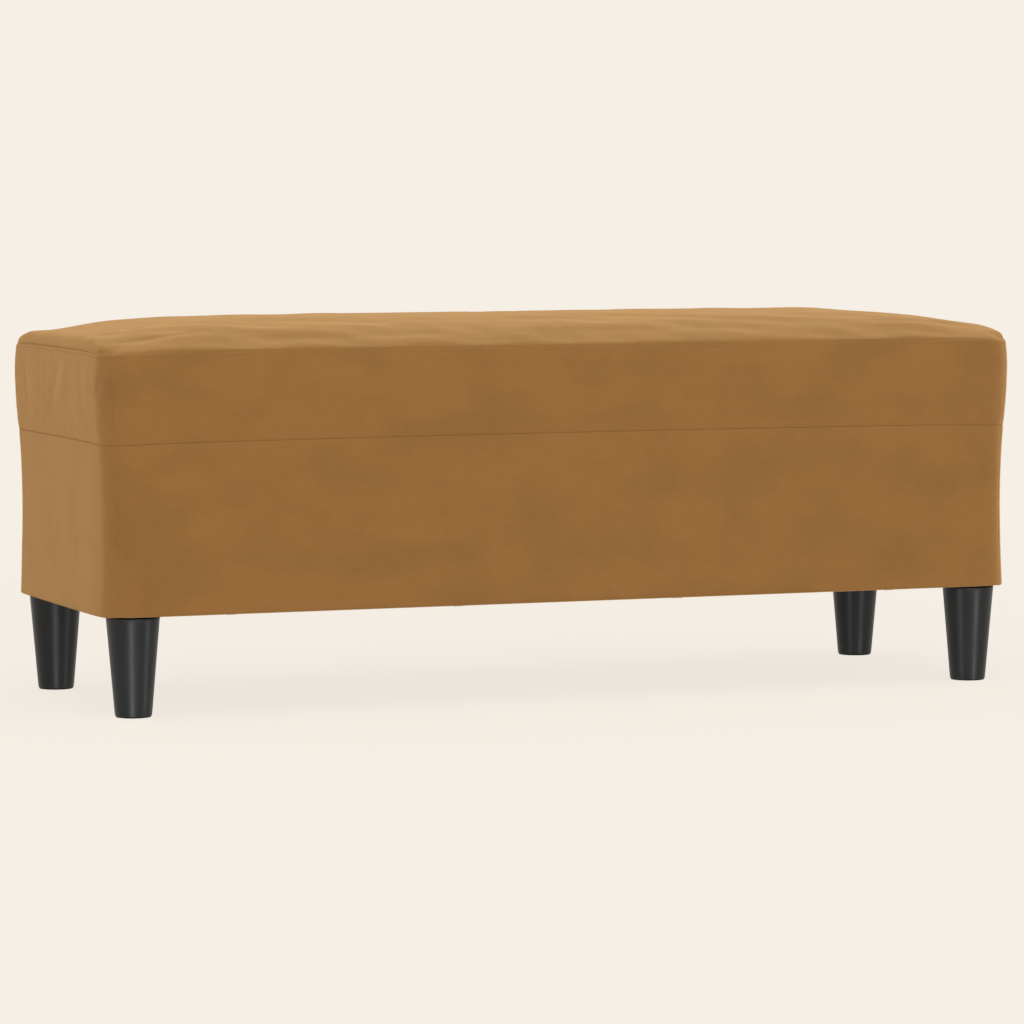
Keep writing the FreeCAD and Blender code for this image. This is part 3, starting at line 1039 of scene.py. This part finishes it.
def make_padding(side):
    """Foam pad behind one side of the skirt."""
    runs = np.linspace(HALF_ARC, SIDE_RUN[side] - HALF_ARC, 40)
    rings = []
    for share in np.linspace(0, 1, 12):
        z = HEM_Z + 2.0 + (LOW_SEAM_Z - HEM_Z - 5.6) * share
        soft = PAD_EDGE * (abs(2 * share - 1) ** 10)
        outer = skirt_inset(share) + CLOTH + PAD_GAP + soft + corner_ease(side, runs, share)
        height = np.full(len(runs), z)
        rings.append(np.concatenate([
            ease_ends(wall_points(side, runs, outer, height)),
            wall_points(side, runs[::-1], PAD_INNER_INSET, height),
        ]))
    piece = closed_rings(side + "_side_pad", rings, pad_foam_look)
    dress(piece, [side + "_padding"])


def make_dust_cover():
    """Thin black cloth stapled under the frame, with round corners and slits for the leg studs."""
    half_x, half_y = HALF_LENGTH - DUST_INSET, HALF_DEPTH - DUST_INSET
    x, y = np.meshgrid(np.linspace(-half_x, half_x, 98), np.linspace(-half_y, half_y, 33))
    edge = np.minimum(half_x - np.abs(x), half_y - np.abs(y))
    from_leg = np.hypot(np.abs(x) - LEG_X, np.abs(y) - LEG_Y)
    loose = np.clip((edge - 14.0) / 25.0, 0, 1) * np.clip((from_leg - 34.0) / 40.0, 0, 1)
    ripple = smooth_noise([x * 0.5, y], 85.0, 4)
    z = DUST_Z - loose * (DUST_SAG + DUST_RIPPLE * ripple)
    past_x, past_y = np.maximum(np.abs(x) - STRAIGHT_X, 0), np.maximum(np.abs(y) - STRAIGHT_Y, 0)
    pull = np.minimum(1, (CORNER_RADIUS - DUST_INSET) / np.maximum(np.hypot(past_x, past_y), 1e-6))
    x = x - np.sign(x) * past_x * (1 - pull)
    y = y - np.sign(y) * past_y * (1 - pull)
    points = np.stack([x, y, z], -1).reshape(-1, 3)
    faces = []
    for face in grid_faces(*x.shape):
        middle = points[list(face)].mean(axis=0)
        if math.hypot(abs(middle[0]) - LEG_X, abs(middle[1]) - LEG_Y) > DUST_SLIT_RADIUS:
            faces.append(face[::-1])
    piece = mesh_object("dust_cover_cloth", points, faces, dust_cloth)
    give_thickness(piece, DUST_CLOTH)
    dress(piece, ["dust_cover"])


def leg_profile():
    """Section of the moulded leg as pairs of radius and height, with a low rim round the glide."""
    def cone(z):
        share = (z - LEG_BOTTOM_Z) / (LEG_TOP_Z - LEG_BOTTOM_Z)
        return LEG_BOTTOM_RADIUS + (LEG_TOP_RADIUS - LEG_BOTTOM_RADIUS) * share

    rim = GLIDE_RADIUS + LEG_RIM_GAP
    shoulder = LEG_TOP_Z - LEG_TOP_ROUND
    quarter = [step / 5 * math.pi / 2 for step in range(6)]
    profile = [(FOOT_MIDDLE_RADIUS, LEG_BOTTOM_Z), (rim, LEG_BOTTOM_Z), (rim, LEG_RIM_Z)]
    for angle in quarter[1:]:
        across, up = LEG_FOOT_ROUND * math.sin(angle), LEG_FOOT_ROUND * (1 - math.cos(angle))
        profile.append((rim + across, LEG_RIM_Z + up))
    profile += [(cone(z), z) for z in np.linspace(8.0, 95.0, 12)]
    for angle in quarter:
        across, up = LEG_TOP_ROUND * math.cos(angle), LEG_TOP_ROUND * math.sin(angle)
        profile.append((cone(shoulder) - LEG_TOP_ROUND + across, shoulder + up))
    profile += [(cone(z) - LEG_WALL, z) for z in (LEG_TOP_Z, LEG_FLOOR_Z)]
    profile += [(LEG_BOSS_RADIUS, LEG_FLOOR_Z), (LEG_BOSS_RADIUS, LEG_TOP_Z)]
    profile += [(STUD_RADIUS, LEG_TOP_Z), (STUD_RADIUS, STUD_BOTTOM_Z)]
    return profile


def make_legs():
    """Four moulded legs with a rounded foot, a hollow and a boss for the stud."""
    profile = leg_profile()
    points = []
    faces = []
    for side_x in (-1, 1):
        for side_y in (-1, 1):
            faces += tube_faces(len(profile), LEG_SEGMENTS, len(points))
            for radius, z in profile:
                for index in range(LEG_SEGMENTS):
                    angle = 2 * math.pi * index / LEG_SEGMENTS
                    x = side_x * LEG_X + radius * math.cos(angle)
                    y = side_y * LEG_Y + radius * math.sin(angle)
                    points.append((x, y, z))
    piece = mesh_object("moulded_legs", points, faces, leg_plastic)
    piece.data.set_sharp_from_angle(angle=math.radians(35))
    dress(piece, ["legs"])
    return piece


def paint_nodes():
    """Materials for the CAD nodes that stay."""
    looks = {"plywood": plywood, "pine": pine, "zinc_steel": zinc, "glide_felt": glide_felt}
    for item in frame["record"]["subparts"]:
        look = looks.get(item["material_slot"])
        if look is None:
            continue
        node = frame["nodes"][item["node"]]
        node.data.materials.clear()
        node.data.materials.append(look)
        node.data.shade_smooth()
        node.data.set_sharp_from_angle(angle=math.radians(30))


# Floor, light and camera


def make_floor():
    """Pale floor in the picture's ground colour, which keeps the object's shadow."""
    turns = ((-1, -1), (1, -1), (1, 1), (-1, 1))
    corners = [(x * FLOOR_HALF_SIZE, y * FLOOR_HALF_SIZE, 0) for x, y in turns]
    piece = mesh_object("floor", corners, [(0, 1, 2, 3)], floor_material())


def seeing_rays(tree):
    """One for the rays by which the camera, gloss and glass see the ground."""
    path = tree.nodes.new("ShaderNodeLightPath")
    seen = path.outputs["Is Camera Ray"]
    for kind in ("Is Glossy Ray", "Is Transmission Ray"):
        either = tree.nodes.new("ShaderNodeMath")
        either.operation = "MAXIMUM"
        tree.links.new(seen, either.inputs[0])
        tree.links.new(path.outputs[kind], either.inputs[1])
        seen = either.outputs[0]
    return seen


def mix_shaders(tree, share, first, second):
    """Two shaders mixed by a share."""
    node = tree.nodes.new("ShaderNodeMixShader")
    tree.links.new(share, node.inputs["Fac"])
    tree.links.new(first.outputs[0], node.inputs[1])
    tree.links.new(second.outputs[0], node.inputs[2])
    return node


def floor_material():
    """Ground colour for the camera with a share of real light, so that the shadow stays."""
    material = bpy.data.materials.new("floor")
    material.use_nodes = True
    tree = material.node_tree
    tree.nodes.clear()
    place = tree.nodes.new("ShaderNodeNewGeometry")
    reach = tree.nodes.new("ShaderNodeVectorMath")
    reach.operation = "LENGTH"
    tree.links.new(place.outputs["Position"], reach.inputs[0])
    fade = tree.nodes.new("ShaderNodeMapRange")
    set_inputs(fade, GROUND_SHARE)
    tree.links.new(reach.outputs["Value"], fade.inputs["Value"])
    share = tree.nodes.new("ShaderNodeMath")
    share.operation = "MULTIPLY"
    tree.links.new(seeing_rays(tree), share.inputs[0])
    tree.links.new(fade.outputs["Result"], share.inputs[1])
    matt = tree.nodes.new("ShaderNodeBsdfDiffuse")
    glow = tree.nodes.new("ShaderNodeEmission")
    for shader in (matt, glow):
        shader.inputs["Color"].default_value = (*GROUND_COLOUR, 1.0)
    ground = mix_shaders(tree, share.outputs[0], matt, glow)
    clear = tree.nodes.new("ShaderNodeBsdfTransparent")
    sided = mix_shaders(tree, place.outputs["Backfacing"], ground, clear)
    output = tree.nodes.new("ShaderNodeOutputMaterial")
    tree.links.new(sided.outputs[0], output.inputs["Surface"])
    return material


def make_world():
    """Even studio surroundings; the camera sees the ground colour."""
    world = bpy.data.worlds.new("studio")
    world.use_nodes = True
    tree = world.node_tree
    tree.nodes.clear()
    seen = tree.nodes.new("ShaderNodeBackground")
    seen.inputs["Color"].default_value = (*GROUND_COLOUR, 1.0)
    light = tree.nodes.new("ShaderNodeBackground")
    set_inputs(light, {"Color": (1.0, 0.98, 0.96, 1.0), "Strength": 0.70})
    both = mix_shaders(tree, seeing_rays(tree), light, seen)
    output = tree.nodes.new("ShaderNodeOutputWorld")
    tree.links.new(both.outputs[0], output.inputs["Surface"])
    bpy.context.scene.world = world


def area_light(name, place, target, size, power):
    """A soft box that looks at a point."""
    data = bpy.data.lights.new(name, "AREA")
    data.shape = "RECTANGLE"
    data.size, data.size_y = size
    data.energy = power
    lamp = bpy.data.objects.new(name, data)
    lamp.location = place
    lamp.rotation_euler = (Vector(target) - Vector(place)).to_track_quat("-Z", "Y").to_euler()
    lamp.visible_camera = False
    bpy.context.collection.objects.link(lamp)
    return lamp


def make_lights(legs):
    """Large soft boxes above and in front, and two low strips that reach the legs alone."""
    aim = (0.0, 0.0, 0.2)
    area_light("light_above", place=(0.0, -0.6, 3.2), target=aim, size=(3.6, 2.6), power=29.5)
    area_light("light_front", place=(-0.6, -4.4, 1.2), target=aim, size=(2.4, 2.0), power=60.5)
    lit_by_strips = bpy.data.collections.new("lit_by_strips")
    lit_by_strips.objects.link(legs)
    strips = (
        ("light_strip_left", (-0.70, -0.70, -0.22), (-0.1, -0.14, 0.05), 2.1),
        ("light_strip_right", (0.70, -1.03, -0.22), (0.15, -0.14, 0.05), 2.4),
    )
    for name, place, target, power in strips:
        strip = area_light(name, place, target, size=(0.05, 0.36), power=power)
        strip.light_linking.receiver_collection = lit_by_strips
        strip.light_linking.blocker_collection = lit_by_strips


def make_camera():
    """Camera at the photograph's viewing angle."""
    data = bpy.data.cameras.new("camera")
    data.lens = CAMERA_LENS
    data.sensor_width = SENSOR_WIDTH
    data.clip_end = 200.0
    camera = bpy.data.objects.new("camera", data)
    yaw, pitch = math.radians(CAMERA_YAW), math.radians(CAMERA_PITCH)
    forward = Vector((-math.sin(yaw) * math.cos(pitch), math.cos(yaw) * math.cos(pitch), -math.sin(pitch)))
    camera.location = CAMERA_PLACE
    roll = Quaternion((0.0, 0.0, 1.0), math.radians(CAMERA_ROLL))
    camera.rotation_euler = (forward.to_track_quat("-Z", "Y") @ roll).to_euler()
    bpy.context.collection.objects.link(camera)
    bpy.context.scene.camera = camera


make_top()
for each_side in SIDES:
    make_band(each_side)
    make_skirt(each_side)
    make_padding(each_side)
make_stitches()
make_foam()
make_wadding()
make_dust_cover()
moulded_legs = make_legs()
paint_nodes()
make_floor()
make_world()
make_lights(moulded_legs)
make_camera()
bpy.context.scene.view_settings.view_transform = "Standard"
